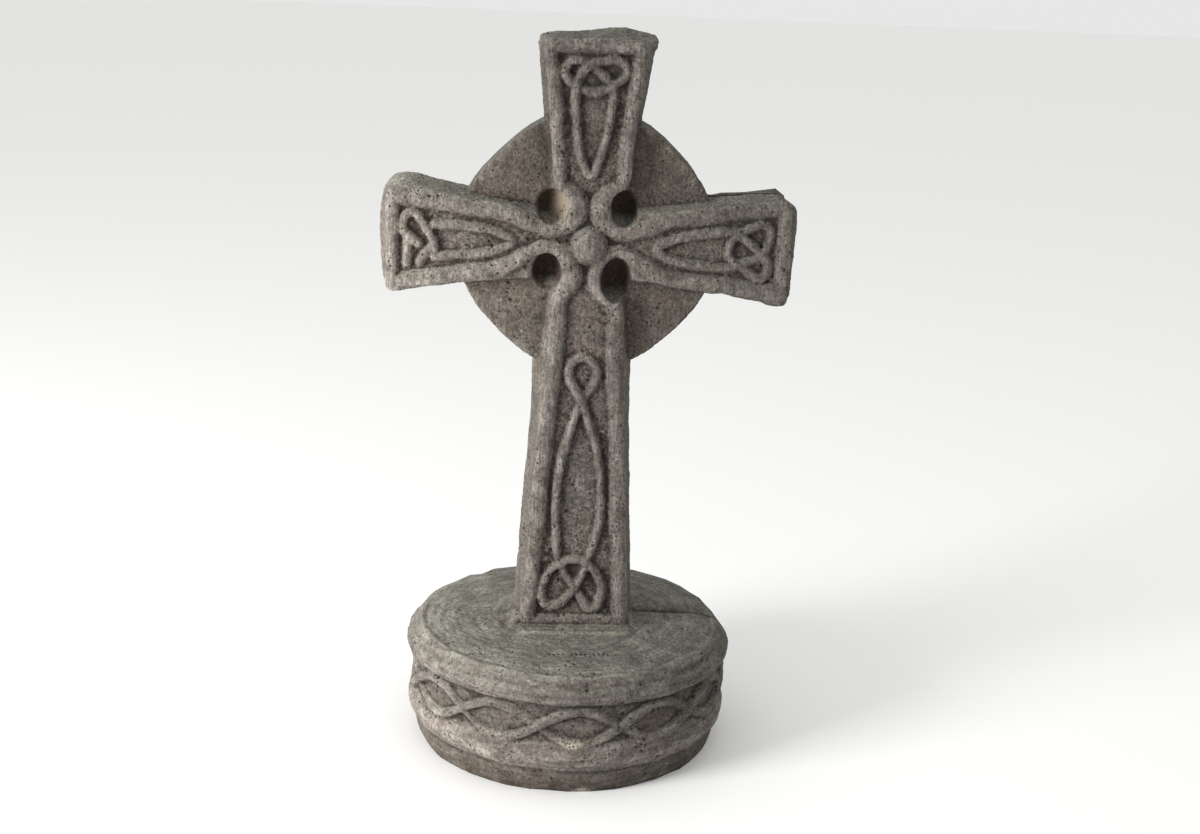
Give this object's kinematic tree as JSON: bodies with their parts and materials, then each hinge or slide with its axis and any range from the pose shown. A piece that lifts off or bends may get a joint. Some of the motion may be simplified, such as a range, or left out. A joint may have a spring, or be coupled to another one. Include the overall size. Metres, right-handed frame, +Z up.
{
  "type": "ringed cross memorial",
  "caption": "Small cast-stone ringed cross with knotwork panels, a round boss and blind round hollows, in one piece with its round plinth.",
  "frame": {"origin": "middle of the plinth's flat underside", "axes": "+Z up along the shaft, -Y out of the carved front, +X to the right of someone who faces the front"},
  "size_m": [0.1868, 0.1536, 0.3315],
  "materials": {
    "cast_stone": "grey-brown cast cement with fine dark pores, a darker wash in the hollows and worn lighter ridges"
  },
  "bodies": {
    "root": {"ringed_cross": "cast_stone"}
  },
  "joints": []
}
